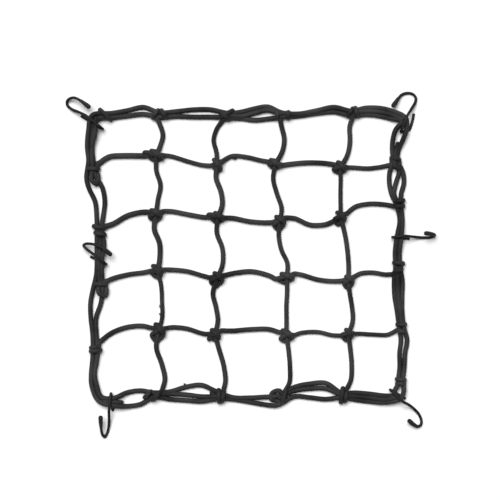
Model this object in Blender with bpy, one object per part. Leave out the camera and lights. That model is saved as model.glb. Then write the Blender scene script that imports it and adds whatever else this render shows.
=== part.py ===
# Elastic cargo net with six wire hooks, lying flat and slack on a surface.
# Metres, +Z up. The tables are laid out on a plan in millimetres, x to the right and y down.
import math
from collections import namedtuple

import bpy
import bmesh
from mathutils import Vector

MM = 0.001
PLAN_MIDDLE = (251.66, 265.1)     # plan point that lies over the origin

# Driving sizes, in millimetres.
RIM_CORD = 4.9                    # thickness of a rim cord
KNOT_CORD = 4.6                   # thickness of a cord drawn tight in a knot
KNOT_LEVEL = 5.3                  # height of a knot's middle over the surface
KNOT_FADE = 8.5                   # how far from a knot its cords take to come down
WIRE = 2.8                        # thickness of a hook's wire
TIP = 4.6                         # thickness of a hook's dipped tip
TIP_LENGTH = 12.0                 # length of the dipped tip, to the end of its round nose
GAP = 0.3                         # between pieces
EYE_SLACK = 1.6                   # room left over the rim cords in a hook's eye
EYE_LIFT = 0.9                    # further lift of the rim cords over the wire under them
EYE_TOP = WIRE + 2 * GAP + RIM_CORD + WIRE / 2 + EYE_SLACK    # height of the wire over the rim
EYE_CORDS = WIRE + GAP + EYE_LIFT                             # lift of the rim cords at an eye
EYE_FLAT = 6.0                    # the cords stay lifted this far from an eye
EYE_FADE = 9.0                    # how far beyond that they take to come down
ROW_RUN = 2.5                     # straight run of a crosswise cord beside a mesh knot
ROW_LEAVES = (0.3, 0.1)           # where its stretch starts and ends inside the knot, in parts
ROW_COMES = (-0.35, 0.2)          # of the knot's reach and of its spread
RIM_PRESS = 0.15                  # how far each rim cord presses into the other at a knot
EXTRA_LIFT = 0.5                  # lift of a third cord's ends inside the knots
TIP_COLLAR = 0.82                 # thickness of the tip's open end, in parts of its full one
WELD = 0.01                       # points closer than this are merged
CREASE = math.radians(50)         # edges sharper than this stay crisp
CORD_SIDES_BEVEL = 1              # six-sided cords
WIRE_SIDES_BEVEL = 2              # eight-sided wires
WIRE_TILT = math.radians(22.5)    # turns a flat side of the wire down
ROW_STEP = 8.0                    # length of one straight bit of cord
NET_FACES = 0.38                  # share of the fused net's faces that is kept
WIRE_STEP = 3.6                   # length of one straight bit of wire

# Knots: place on the plan, heading of the tied cord in degrees, reach of its loops on the side
# where it comes in and on the far side, and half the distance between its two turns. Then, for a
# mesh knot, the level on the plan at which the row comes in and leaves, and for a rim knot, the
# place where the mesh cord meets it.
Knot = namedtuple("Knot", "x y heading near far spread come leave")
MESH_KNOTS = {
    "K11": Knot(156.5, 155.5, -6, 10.0, 4.8, 3.5, 155.9, 155.4),
    "K12": Knot(217.5, 165.0, -10, 4.2, 4.2, 4.0, 165.7, 160.2),
    "K13": Knot(275.5, 164.0, -28, 6.5, 4.6, 2.9, 161.5, 165.3),
    "K14": Knot(340.5, 168.0, -22, 6.0, 4.6, 3.7, 164.3, 167.5),
    "K21": Knot(156.0, 215.0, -13, 6.0, 5.5, 3.6, 212.2, 211.4),
    "K22": Knot(218.0, 217.5, -16, 9.5, 5.0, 3.4, 217.5, 218.0),
    "K23": Knot(279.5, 223.5, -13, 4.6, 4.2, 4.8, 222.5, 217.9),
    "K24": Knot(341.0, 218.0, 12, 5.5, 4.2, 4.8, 221.6, 213.0),
    "K31": Knot(158.0, 271.5, 5, 5.6, 5.2, 3.6, 271.3, 269.8),
    "K32": Knot(217.0, 279.5, -25, 5.2, 6.0, 5.0, 277.6, 275.3),
    "K33": Knot(287.0, 277.0, -8, 9.0, 5.5, 4.0, 279.0, 273.8),
    "K34": Knot(348.5, 282.0, -4, 4.6, 4.4, 4.0, 281.0, 276.2),
    "K41": Knot(158.5, 332.5, -22, 6.0, 6.2, 4.8, 327.8, 328.2),
    "K42": Knot(215.0, 335.0, -4, 6.5, 4.6, 4.0, 334.2, 330.8),
    "K43": Knot(286.5, 335.5, -7, 5.4, 5.6, 3.2, 332.2, 335.2),
    "K44": Knot(348.5, 334.5, -9, 5.0, 4.4, 3.6, 335.6, 333.8),
}
RIM_KNOTS = {
    "T1": Knot(159.5, 115.0, 90, 3.8, 3.5, 5.0, 157.5, 119.5),
    "T2": Knot(228.0, 115.5, 90, 4.4, 4.2, 5.0, 224.0, 119.5),
    "T3": Knot(281.5, 115.0, 90, 3.8, 3.5, 5.3, 280.3, 119.8),
    "T4": Knot(352.0, 113.5, 90, 5.2, 5.0, 4.0, 352.3, 118.5),
    "L1": Knot(93.0, 174.5, 180, 4.7, 4.7, 7.0, 97.5, 164.8),
    "L2": Knot(99.5, 229.5, 180, 5.3, 5.5, 3.6, 104.0, 227.0),
    "L3": Knot(100.5, 288.0, 180, 5.5, 5.0, 5.0, 105.0, 282.0),
    "L4": Knot(95.5, 348.5, 180, 4.0, 3.9, 2.8, 99.0, 343.0),
    "R1": Knot(395.5, 161.0, 0, 4.3, 3.6, 5.4, 391.5, 164.6),
    "R2": Knot(399.0, 205.0, 0, 4.7, 4.0, 5.6, 392.5, 206.0),
    "R3": Knot(398.0, 267.0, 0, 4.2, 4.2, 7.0, 392.5, 274.2),
    "R4": Knot(401.5, 326.5, 0, 3.8, 3.8, 4.0, 396.0, 330.8),
    "R5": Knot(400.5, 381.0, 0, 3.7, 3.7, 2.6, 396.0, 381.0),
    "B1": Knot(154.0, 395.0, 270, 4.0, 4.0, 7.0, 162.0, 391.0),
    "B2": Knot(218.0, 396.5, 270, 5.0, 5.4, 4.5, 223.8, 390.0),
    "B3": Knot(279.0, 398.0, 262, 6.4, 8.2, 5.6, 285.0, 391.5),
    "B4": Knot(341.6, 395.3, 266, 6.2, 7.2, 4.6, 346.8, 389.5),
}

# One knot's cord as it ties: side in parts of the reach, along the held cord in parts of the
# spread, and rise over the knot's middle in millimetres.
Turn = namedtuple("Turn", "side along rise")
HITCH = (
    Turn(-0.35, 0.55, 2.4),
    Turn(0.50, 0.95, 2.0),
    Turn(0.85, 1.10, -0.8),
    Turn(0.00, 1.15, -2.9),
    Turn(-0.80, 1.15, -0.6),
    Turn(-0.65, 0.90, 3.2),
    Turn(0.00, 0.05, 5.6),
    Turn(0.75, -0.75, 3.6),
    Turn(1.00, -1.00, -0.4),
    Turn(0.00, -1.15, -2.9),
    Turn(-0.98, -0.95, -0.6),
    Turn(-0.60, -0.45, 2.8),
    Turn(0.30, 0.10, 2.2),
)

# Cords across and along the mesh, a row for each stretch between two knots: thickness, and the
# cord's place on the plan a quarter, a half and three quarters of the way.
Span = namedtuple("Span", "start end thick a b c")
ROWS = (
    Span("L1", "K11", 5.6, 157.2, 155.8, 155.9),
    Span("K11", "K12", 4.5, 156.5, 161.2, 165.2),
    Span("K12", "K13", 4.7, 156.3, 157.2, 160.6),
    Span("K13", "K14", 5.0, 164.1, 162.8, 163.3),
    Span("K14", "R1", 4.5, 167.7, 168.5, 166.9),
    Span("L2", "K21", 5.4, 223.8, 215.8, 212.4),
    Span("K21", "K22", 4.9, 211.5, 214.4, 217.2),
    Span("K22", "K23", 5.0, 218.3, 221.5, 222.8),
    Span("K23", "K24", 5.0, 218.6, 225.0, 224.6),
    Span("K24", "R2", 4.7, 206.9, 204.0, 204.6),
    Span("L3", "K31", 4.8, 278.0, 274.6, 272.7),
    Span("K31", "K32", 4.8, 270.0, 271.6, 275.8),
    Span("K32", "K33", 5.0, 273.3, 271.7, 275.9),
    Span("K33", "K34", 4.8, 275.1, 279.7, 281.4),
    Span("K34", "R3", 4.6, 273.6, 272.8, 274.7),
    Span("L4", "K41", 5.0, 333.4, 327.5, 326.2),
    Span("K41", "K42", 4.7, 327.5, 328.8, 333.3),
    Span("K42", "K43", 4.9, 331.0, 329.6, 329.4),
    Span("K43", "K44", 4.4, 333.0, 332.2, 335.5),
    Span("K44", "R4", 4.3, 334.0, 334.8, 334.8),
)
COLUMNS = (
    Span("T1", "K11", 4.9, 160.2, 163.0, 160.6),
    Span("K11", "K21", 4.7, 156.4, 160.6, 158.0),
    Span("K21", "K31", 5.3, 154.4, 159.6, 160.0),
    Span("K31", "K41", 4.3, 161.3, 162.1, 162.3),
    Span("K41", "B1", 5.0, 156.5, 161.7, 165.0),
    Span("T2", "K12", 4.6, 217.5, 213.8, 216.6),
    Span("K12", "K22", 5.2, 216.3, 220.9, 222.5),
    Span("K22", "K32", 4.8, 217.0, 222.5, 222.8),
    Span("K32", "K42", 4.9, 213.1, 216.1, 218.0),
    Span("K42", "B2", 4.9, 219.4, 223.8, 225.6),
    Span("T3", "K13", 5.0, 281.9, 284.5, 282.4),
    Span("K13", "K23", 4.7, 273.4, 277.1, 281.8),
    Span("K23", "K33", 4.6, 279.0, 281.7, 287.6),
    Span("K33", "K43", 4.6, 287.3, 286.6, 286.7),
    Span("K43", "B3", 4.6, 288.8, 290.1, 289.7),
    Span("T4", "K14", 4.9, 349.9, 350.2, 347.9),
    Span("K14", "K24", 4.4, 340.9, 340.7, 340.8),
    Span("K24", "K34", 4.8, 345.1, 347.6, 348.8),
    Span("K34", "K44", 4.7, 350.2, 352.4, 352.9),
    Span("K44", "B4", 4.8, 350.6, 351.9, 351.1),
)

# Corners of the rim, with the way out from the net as a heading on the plan.
Corner = namedtuple("Corner", "x y outward")
CORNERS = {
    "TL": Corner(96.0, 117.5, (-0.7, -0.7)),
    "TR": Corner(403.5, 120.0, (0.75, -0.65)),
    "BL": Corner(100.0, 398.5, (-0.75, 0.65)),
    "BR": Corner(399.0, 397.0, (0.7, 0.7)),
}

# Knots that a rim cord passes well away from the middle.
RIM_POSTS = {
    ("TL", "outer"): (92.6, 115.6),
    ("TR", "outer"): (405.8, 118.4),
    ("BL", "outer"): (98.8, 401.0),
    ("L1", "outer"): (86.7, 178.5),
    ("L3", "outer"): (92.8, 291.0),
    ("B2", "inner"): (214.0, 390.5),
    ("B3", "outer"): (276.5, 405.4),
}

# Stretches of the rim, clockwise: where its outer and inner cords lie a quarter, a half and
# three quarters of the way, and how high each lies over the surface it could rest on.
Bay = namedtuple("Bay", "start end outer outer_lift inner inner_lift")
BAYS = (
    Bay("TL", "T1", (113.3, 110.5, 107.3), 0, (117.8, 116.0, 114.3), 0),
    Bay("T1", "T2", (111.5, 109.7, 109.7), 0, (116.4, 117.0, 117.0), 0),
    Bay("T2", "T3", (112.0, 108.7, 106.9), 0, (118.5, 120.2, 118.9), 0),
    Bay("T3", "T4", (114.0, 110.8, 107.4), 3, (116.0, 113.4, 112.0), 0),
    Bay("T4", "TR", (108.2, 108.0, 110.5), 0, (114.6, 115.6, 118.5), 0),
    Bay("TR", "R1", (406.3, 402.7, 398.6), 0, (395.6, 392.9, 392.5), 0),
    Bay("R1", "R2", (403.0, 404.2, 401.4), 0, (390.0, 389.6, 391.8), 0),
    Bay("R2", "R3", (402.6, 401.4, 399.8), 0, (400.0, 397.2, 395.3), 0),
    Bay("R3", "R4", (402.7, 402.3, 402.4), 0, (394.4, 395.0, 397.4), 0),
    Bay("R4", "R5", (407.3, 405.3, 404.6), 0, (401.2, 399.9, 400.0), 0),
    Bay("R5", "BR", (403.4, 404.0, 403.4), 0, (397.8, 395.6, 394.0), 0),
    Bay("BR", "B4", (402.5, 401.8, 400.0), 0, (395.8, 394.2, 393.0), 0),
    Bay("B4", "B3", (399.4, 397.8, 396.8), 0, (383.4, 384.0, 387.4), 0),
    Bay("B3", "B2", (404.6, 402.0, 399.6), 0, (397.2, 398.0, 397.6), 1),
    Bay("B2", "B1", (401.6, 400.6, 399.5), 0, (385.4, 387.2, 391.9), 0),
    Bay("B1", "BL", (404.5, 406.4, 405.6), 0, (390.9, 392.8, 398.2), 0),
    Bay("BL", "L4", (91.8, 91.3, 92.5), 0, (97.0, 94.8, 96.8), 1),
    Bay("L4", "L3", (92.6, 90.9, 90.6), 0, (96.4, 96.2, 101.0), 0),
    Bay("L3", "L2", (96.7, 97.3, 97.0), 0, (102.0, 102.2, 104.2), 0),
    Bay("L2", "L1", (96.7, 95.2, 89.0), 0, (103.4, 104.9, 102.6), 0),
    Bay("L1", "TL", (88.6, 87.3, 88.6), 0, (93.4, 92.2, 93.6), 0),
)

# Third cords that join the bundle in some bays.
Extra = namedtuple("Extra", "start end a b c lift")
EXTRAS = (
    Extra("T2", "T3", 116.4, 113.0, 110.2, 1.5),
    Extra("T4", "TR", 111.6, 111.8, 114.6, 1.5),
    Extra("R1", "R2", 399.2, 396.2, 394.2, 0.5),
    Extra("R3", "R4", 397.6, 398.2, 400.2, 3.0),
    Extra("B4", "B3", 388.9, 388.8, 391.0, 0.0),
    Extra("B2", "B1", 396.8, 394.9, 394.2, 0.5),
    Extra("L1", "TL", 92.6, 92.6, 95.6, 2.5),
    Extra("BR", "B4", 399.2, 398.0, 396.6, 1.0),
    Extra("L3", "L2", 99.4, 99.6, 100.6, 0.6),
)

# Cut ends of the knotting cord that stick out of the bundle.
Tail = namedtuple("Tail", "x y end_x end_y lift")
TAILS = (
    Tail(104.0, 401.5, 124.0, 402.6, 0.0),
    Tail(100.0, 109.8, 111.5, 120.5, 5.0),
    Tail(395.0, 157.0, 398.2, 142.0, 1.5),
    Tail(401.5, 206.0, 396.5, 212.5, 1.0),
    Tail(219.0, 333.0, 207.3, 340.3, 0.0),
    Tail(216.0, 397.0, 210.5, 391.5, 0.0),
)

# Hooks: plan places of the wire under the rim from its cut end on, of the eye's bend inside the
# net and of the shank where it comes off the rim, then the open hook's bends to its tip's end.
Hook = namedtuple("Hook", "under eye shank bends")
Bend = namedtuple("Bend", "x y z")
HOOKS = {
    "back_left": Hook(((80.8, 115.8),), (103.0, 129.2), (87.5, 116.8), (
        Bend(79.0, 112.4, 7.0), Bend(71.6, 109.2, 3.6), Bend(67.5, 105.4, 1.8),
        Bend(67.2, 101.6, 2.8), Bend(70.0, 98.9, 5.2), Bend(74.6, 98.2, 7.6),
        Bend(79.5, 100.2, 9.4), Bend(85.0, 104.0, 10.6), Bend(91.0, 108.6, 11.2))),
    "back_right": Hook(
        ((414.2, 113.6), (412.2, 123.0), (408.8, 130.6)), (400.9, 131.9), (406.5, 117.5), (
        Bend(411.8, 108.6, 6.5), Bend(415.6, 102.0, 3.0), Bend(416.0, 97.6, 1.6),
        Bend(412.6, 94.0, 1.6), Bend(407.6, 93.2, 1.8), Bend(402.4, 94.6, 2.6),
        Bend(398.8, 98.2, 4.2), Bend(395.5, 102.8, 6.2), Bend(392.2, 107.6, 8.4))),
    "left": Hook(((90.2, 256.6),), (106.6, 264.4), (95.5, 255.6), (
        Bend(89.6, 251.2, 8.5), Bend(85.6, 248.0, 6.6), Bend(83.9, 245.6, 6.4),
        Bend(86.4, 244.0, 8.4), Bend(91.0, 244.0, 11.0), Bend(97.0, 245.2, 13.0),
        Bend(103.0, 247.8, 13.4), Bend(107.5, 251.4, 12.4), Bend(112.3, 255.8, 10.6))),
    "right": Hook(((410.0, 238.8),), (392.4, 237.4), (404.5, 236.2), (
        Bend(413.0, 236.9, 6.5), Bend(422.0, 237.7, 2.6), Bend(429.6, 237.6, 1.5),
        Bend(434.0, 236.4, 3.2), Bend(434.9, 235.4, 6.6), Bend(433.2, 234.6, 10.2),
        Bend(429.6, 234.0, 12.8), Bend(423.4, 233.4, 14.2))),
    "front_left": Hook(((112.9, 411.3),), (111.3, 393.5), (109.6, 409.5), (
        Bend(109.4, 418.0, 6.8), Bend(108.9, 426.0, 3.2), Bend(107.4, 433.0, 1.5),
        Bend(104.8, 437.0, 2.4), Bend(102.6, 434.4, 5.6), Bend(101.8, 429.6, 8.6),
        Bend(101.4, 423.5, 10.6), Bend(101.2, 415.2, 12.0))),
    "front_right": Hook(((406.0, 399.0),), (390.2, 389.8), (402.8, 401.4), (
        Bend(408.5, 404.6, 7.5), Bend(414.5, 409.3, 4.2), Bend(419.2, 414.6, 2.0),
        Bend(421.6, 420.4, 1.5), Bend(421.2, 424.8, 2.4), Bend(418.0, 426.6, 3.8),
        Bend(413.8, 424.6, 5.4), Bend(407.8, 419.6, 7.2))),
}


def plan_distance(x, y, start, end):
    """Distance on the plan from a point to a straight line between two places."""
    along = (end[0] - start[0], end[1] - start[1])
    length = along[0] ** 2 + along[1] ** 2
    part = ((x - start[0]) * along[0] + (y - start[1]) * along[1]) / length
    part = min(1.0, max(0.0, part))
    return math.hypot(x - start[0] - part * along[0], y - start[1] - part * along[1])


def rest_height(x, y, thick):
    """Height of a slack cord's middle: on the surface, or lifted by a knot or a hook near it."""
    base = thick / 2 * math.cos(math.pi / 6)
    lift = 0.0
    for knot in list(MESH_KNOTS.values()) + list(RIM_KNOTS.values()):
        away = math.hypot(x - knot.x, y - knot.y)
        lift = max(lift, (KNOT_LEVEL - base) * math.exp(-(away / KNOT_FADE) ** 2))
    for hook in HOOKS.values():
        for start, end in zip(hook.under, hook.under[1:] + (hook.eye,)):
            away = max(0.0, plan_distance(x, y, start, end) - EYE_FLAT)
            lift = max(lift, EYE_CORDS * math.exp(-(away / EYE_FADE) ** 2))
    return base + lift


def smooth(stops, step, closed=False):
    """Points about a step apart on a smooth curve through the stops."""
    rows = [Vector(stop) for stop in stops]
    if closed:
        rows = [rows[-1]] + rows + [rows[0], rows[1]]
    else:
        rows = [rows[0] * 2 - rows[1]] + rows + [rows[-1] * 2 - rows[-2]]
    points = []
    for a, b, c, d in zip(rows, rows[1:], rows[2:], rows[3:]):
        count = max(1, round((c - b).length / step))
        for number in range(count):
            t = number / count
            points.append(0.5 * (2 * b + (c - a) * t + (2 * a - 5 * b + 4 * c - d) * t ** 2
                                 + (3 * b - a - 3 * c + d) * t ** 3))
    if not closed:
        points.append(rows[-2])
    return points


def place(x, y, z):
    """Plan millimetres and a height in millimetres to metres."""
    return Vector(((x - PLAN_MIDDLE[0]) * MM, (PLAN_MIDDLE[1] - y) * MM, z * MM))


def tube(name, points, thicks, sides_bevel, tilt=0.0, level=False, closed=False):
    """A round cord or wire through the points, as a mesh with its caps joined on."""
    curve = bpy.data.curves.new(name, "CURVE")
    curve.dimensions = "3D"
    curve.bevel_depth = MM / 2
    curve.bevel_resolution = sides_bevel
    curve.use_fill_caps = True
    curve.twist_mode = "Z_UP" if level else "MINIMUM"
    spline = curve.splines.new("POLY")
    spline.points.add(len(points) - 1)
    spline.use_cyclic_u = closed
    for stop, point, thick in zip(spline.points, points, thicks):
        stop.co = (*place(*point), 1.0)
        stop.radius = thick
        stop.tilt = tilt
    guide = bpy.data.objects.new(name + "_route", curve)
    parts.objects.link(guide)
    mesh = evaluated_mesh(guide)
    bpy.data.objects.remove(guide)
    shape = bmesh.new()
    shape.from_mesh(mesh)
    bmesh.ops.remove_doubles(shape, verts=shape.verts, dist=WELD * MM)
    bmesh.ops.recalc_face_normals(shape, faces=shape.faces)
    shape.to_mesh(mesh)
    shape.free()
    mesh.name = name
    piece = bpy.data.objects.new(name, mesh)
    parts.objects.link(piece)
    return piece


def knot_place(knot, side, along):
    """A place in a knot on the plan, from parts of its reach and spread."""
    reach = (knot.near if side < 0 else knot.far) * side
    turn = math.radians(knot.heading)
    x = reach * math.cos(turn) - along * knot.spread * math.sin(turn)
    y = reach * math.sin(turn) + along * knot.spread * math.cos(turn)
    return knot.x + x, knot.y - y


def hitch(name, knot):
    """The turns of a knot's cord round the cord or cords that it holds."""
    stops = []
    for turn in HITCH:
        x, y = knot_place(knot, turn.side, turn.along)
        stops.append((x, y, KNOT_LEVEL + turn.rise))
    return tube(name, stops, [KNOT_CORD] * len(stops), CORD_SIDES_BEVEL)


def span_stops(span, across):
    """The places on the plan that one stretch of a mesh cord passes between its knots."""
    knots = {**MESH_KNOTS, **RIM_KNOTS}
    start, end = knots[span.start], knots[span.end]
    stops = []
    for part, level in ((0.25, span.a), (0.5, span.b), (0.75, span.c)):
        if across:
            stops.append((start.x + part * (end.x - start.x), level))
        else:
            stops.append((level, start.y + part * (end.y - start.y)))
    return start, stops, end


def lay(stops, thick, step):
    """Smooth points through plan places, at rest on the surface."""
    flat = smooth([(x, y, 0.0) for x, y in stops], step)
    return [(p.x, p.y, rest_height(p.x, p.y, thick)) for p in flat]


def rim_end(knot):
    """Where a mesh cord ends inside the rim knot that it meets."""
    return (knot.x + 2 * knot.come) / 3, (knot.y + 2 * knot.leave) / 3


def row_span(span):
    """One stretch of a crosswise cord, from inside one knot to inside the next."""
    start, middle, end = span_stops(span, across=True)
    first = [knot_place(start, *ROW_LEAVES), (start.x + start.far + ROW_RUN, start.leave)]
    if span.start in RIM_KNOTS:
        first = [rim_end(start), (start.come, start.leave)]
    last = [(end.x - end.near - ROW_RUN, end.come), knot_place(end, *ROW_COMES)]
    if span.end in RIM_KNOTS:
        last = [(end.come, end.leave), rim_end(end)]
    points = lay(first + middle + last, span.thick, ROW_STEP)
    return tube(f"row_{span.start}_{span.end}", points, [span.thick] * len(points),
                CORD_SIDES_BEVEL, level=True)


def column_cord(spans):
    """A lengthwise cord from rim to rim, straight through its knots."""
    stops = []
    for span in spans:
        start, middle, end = span_stops(span, across=False)
        if span.start in RIM_KNOTS:
            stops += [rim_end(start), (start.come, start.leave)]
        stops += middle
        if span.end in RIM_KNOTS:
            stops += [(end.come, end.leave), rim_end(end)]
        else:
            stops.append((end.x, end.y))
    thick = sum(span.thick for span in spans) / len(spans)
    points = lay(stops, thick, ROW_STEP)
    return tube("column_" + spans[0].start, points, [thick] * len(points),
                CORD_SIDES_BEVEL, level=True)


def rim_post(name, side):
    """Where the rim's outer or inner cord passes a knot or a corner."""
    if (name, side) in RIM_POSTS:
        return RIM_POSTS[name, side]
    step = RIM_CORD / 2 - RIM_PRESS
    step = step if side == "outer" else -step
    if name in CORNERS:
        corner = CORNERS[name]
        return corner.x + step * corner.outward[0], corner.y + step * corner.outward[1]
    knot = RIM_KNOTS[name]
    turn = math.radians(knot.heading)
    return knot.x + step * math.cos(turn), knot.y - step * math.sin(turn)


def bay_points(start, end, levels):
    """Plan places of a rim cord a quarter, a half and three quarters along its bay."""
    ends = []
    for name in (start, end):
        spot = CORNERS.get(name) or RIM_KNOTS[name]
        ends.append((spot.x, spot.y))
    crosswise = abs(ends[1][0] - ends[0][0]) > abs(ends[1][1] - ends[0][1])
    points = []
    for part, level in zip((0.25, 0.5, 0.75), levels):
        x = ends[0][0] + part * (ends[1][0] - ends[0][0])
        y = ends[0][1] + part * (ends[1][1] - ends[0][1])
        points.append((x, level) if crosswise else (level, y))
    return points


def rim_cord(side):
    """A rim cord all the way round the net."""
    stops = []
    for bay in BAYS:
        levels = bay.outer if side == "outer" else bay.inner
        lift = bay.outer_lift if side == "outer" else bay.inner_lift
        stops.append((*rim_post(bay.start, side), 0.0))
        stops += [(x, y, lift) for x, y in bay_points(bay.start, bay.end, levels)]
    flat = smooth(stops, ROW_STEP, closed=True)
    points = [(p.x, p.y, p.z + rest_height(p.x, p.y, RIM_CORD)) for p in flat]
    return tube("rim_" + side, points, [RIM_CORD] * len(points), CORD_SIDES_BEVEL,
                level=True, closed=True)


def extra_cord(extra):
    """A third cord that joins the rim's bundle in one bay."""
    stops = [(*spot, extra.lift) for spot in
             bay_points(extra.start, extra.end, (extra.a, extra.b, extra.c))]
    ends = [CORNERS.get(name) or RIM_KNOTS[name] for name in (extra.start, extra.end)]
    stops = [(ends[0].x, ends[0].y, EXTRA_LIFT)] + stops + [(ends[1].x, ends[1].y, EXTRA_LIFT)]
    flat = smooth(stops, ROW_STEP)
    points = [(p.x, p.y, p.z + rest_height(p.x, p.y, RIM_CORD)) for p in flat]
    return tube(f"extra_{extra.start}", points, [RIM_CORD] * len(points), CORD_SIDES_BEVEL,
                level=True)


def tail_cord(number, tail):
    """A cut end that sticks out of the bundle."""
    stops = [(tail.x, tail.y, 0.0), (tail.end_x, tail.end_y, 0.0)]
    flat = smooth(stops, ROW_STEP)
    points = [(p.x, p.y, tail.lift + rest_height(p.x, p.y, KNOT_CORD)) for p in flat]
    return tube(f"tail_{number}", points, [KNOT_CORD] * len(points), CORD_SIDES_BEVEL, level=True)


def eye_stops(hook):
    """The hook's closed eye: under the rim, round the bend inside the net, and back over it."""
    low = WIRE / 2
    radius = (EYE_TOP - low) / 2
    eye = Vector(hook.eye)
    under = (Vector(hook.under[-1]) - eye).normalized()
    over = (Vector(hook.shank) - eye).normalized()
    stops = [(*spot, low) for spot in hook.under]
    for degrees in (-90, -45, 0, 45, 90):
        angle = math.radians(degrees)
        way = under if degrees < 0 else over
        inward = radius * (1 - math.cos(angle))
        spot = eye + way * inward
        stops.append((spot.x, spot.y, low + radius * (1 + math.sin(angle))))
    stops.append((*hook.shank, EYE_TOP))
    return stops


def hook_pieces(name, hook):
    """A hook's bent wire and the dipped tip on its end."""
    stops = eye_stops(hook) + [tuple(bend) for bend in hook.bends]
    points = smooth(stops, WIRE_STEP)
    run = 0.0
    cut = len(points) - 1
    while run < TIP_LENGTH and cut > 0:
        run += (points[cut] - points[cut - 1]).length
        cut -= 1
    start = points[cut]
    axis = (start - points[cut - 1]).normalized()
    wire_points = points[:cut] + [start - axis * GAP]
    wire = tube("hook_wire_" + name, wire_points, [WIRE] * len(wire_points),
                WIRE_SIDES_BEVEL, tilt=WIRE_TILT)
    nose = (points[-1] - points[-2]).normalized()
    half = TIP / 2
    tip_points = [start, start + axis] + points[cut + 1:-1] + [points[-1] - nose * half]
    thicks = [TIP * TIP_COLLAR] + [TIP] * (len(tip_points) - 1)
    for angle in (35, 65):
        tip_points.append(points[-1] - nose * half * (1 - math.sin(math.radians(angle))))
        thicks.append(TIP * math.cos(math.radians(angle)))
    tip = tube("hook_tip_" + name, tip_points, thicks, WIRE_SIDES_BEVEL)
    return wire, tip


def finish_material(piece, name, colour, roughness):
    """Give a piece its material and smooth shading."""
    material = bpy.data.materials.get(name) or bpy.data.materials.new(name)
    material.use_nodes = True
    shader = material.node_tree.nodes["Principled BSDF"]
    shader.inputs["Base Color"].default_value = (*colour, 1.0)
    shader.inputs["Roughness"].default_value = roughness
    piece.data.materials.clear()
    piece.data.materials.append(material)
    piece.data.shade_smooth()
    piece.data.set_sharp_from_angle(angle=CREASE)


def evaluated_mesh(piece):
    """The piece's mesh with its modifiers worked in."""
    bpy.context.view_layer.update()
    graph = bpy.context.evaluated_depsgraph_get()
    return bpy.data.meshes.new_from_object(piece.evaluated_get(graph))


def connected(shape):
    """The vertices of each connected part of a shape."""
    left = set(shape.verts)
    groups = []
    while left:
        group = {left.pop()}
        edge = list(group)
        while edge:
            vertex = edge.pop()
            for link in vertex.link_edges:
                other = link.other_vert(vertex)
                if other in left:
                    left.remove(other)
                    group.add(other)
                    edge.append(other)
        groups.append(group)
    return groups


def outer_skin(mesh):
    """Drop the small closed pockets between pressed cords, and part edges that two folds share."""
    shape = bmesh.new()
    shape.from_mesh(mesh)
    groups = connected(shape)
    skin = max(groups, key=len)
    pockets = [vertex for group in groups if group is not skin for vertex in group]
    bmesh.ops.delete(shape, geom=pockets, context="VERTS")
    bmesh.ops.triangulate(shape, faces=shape.faces)
    for _ in range(8):
        shared = [edge for edge in shape.edges if len(edge.link_faces) > 2]
        if not shared:
            break
        bmesh.ops.collapse(shape, edges=shared)
        bmesh.ops.dissolve_degenerate(shape, edges=shape.edges, dist=0.000001)
        bmesh.ops.triangulate(shape, faces=shape.faces)
    shape.to_mesh(mesh)
    shape.free()


def fuse(body, others):
    """Boolean union of a body with other pieces, which are used up."""
    operand = bpy.data.collections.new("strands")
    bpy.context.scene.collection.children.link(operand)
    for piece in others:
        parts.objects.unlink(piece)
        operand.objects.link(piece)
    join = body.modifiers.new("fuse", "BOOLEAN")
    join.operation = "UNION"
    join.operand_type = "COLLECTION"
    join.collection = operand
    join.solver = "EXACT"
    join.use_self = True
    mesh = evaluated_mesh(body)
    for piece in others:
        bpy.data.objects.remove(piece)
    bpy.data.collections.remove(operand)
    bpy.data.objects.remove(body)
    return mesh


def make_net(name, pieces, held_back):
    """Fuse the cords into one solid with few faces."""
    mesh = fuse(pieces[0], pieces[1:])
    outer_skin(mesh)
    body = bpy.data.objects.new(name + "_fine", mesh)
    parts.objects.link(body)
    sparser = body.modifiers.new("sparser", "DECIMATE")
    sparser.ratio = NET_FACES
    sparser.use_collapse_triangulate = True
    mesh = evaluated_mesh(body)
    for vertex in mesh.vertices:
        vertex.co.z = max(vertex.co.z, 0.0)
    bpy.data.objects.remove(body)
    body = bpy.data.objects.new(name + "_sparse", mesh)
    parts.objects.link(body)
    mesh = fuse(body, held_back)
    outer_skin(mesh)
    mesh.name = name
    net = bpy.data.objects.new(name, mesh)
    parts.objects.link(net)
    return net


for leftover in list(bpy.data.objects):
    bpy.data.objects.remove(leftover)
parts = bpy.data.collections.new("cargo_net")
bpy.context.scene.collection.children.link(parts)

strands = [rim_cord("outer"), rim_cord("inner")]
strands += [extra_cord(extra) for extra in EXTRAS]
strands += [column_cord(COLUMNS[first:first + 5]) for first in range(0, len(COLUMNS), 5)]
strands += [row_span(span) for span in ROWS]
strands += [hitch("hitch_" + name, knot) for name, knot in {**MESH_KNOTS, **RIM_KNOTS}.items()]
tails = [tail_cord(number, tail) for number, tail in enumerate(TAILS)]
net = make_net("net", strands, tails)
finish_material(net, "elastic_cord", (0.035, 0.035, 0.037), 0.85)
for name, hook in HOOKS.items():
    wire, tip = hook_pieces(name, hook)
    finish_material(wire, "black_wire", (0.03, 0.03, 0.03), 0.4)
    finish_material(tip, "dipped_vinyl", (0.035, 0.035, 0.035), 0.5)
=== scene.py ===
# Cargo net, seen from above on a white surface. Plan places are in millimetres, x right, y down.
import math
import random

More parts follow.
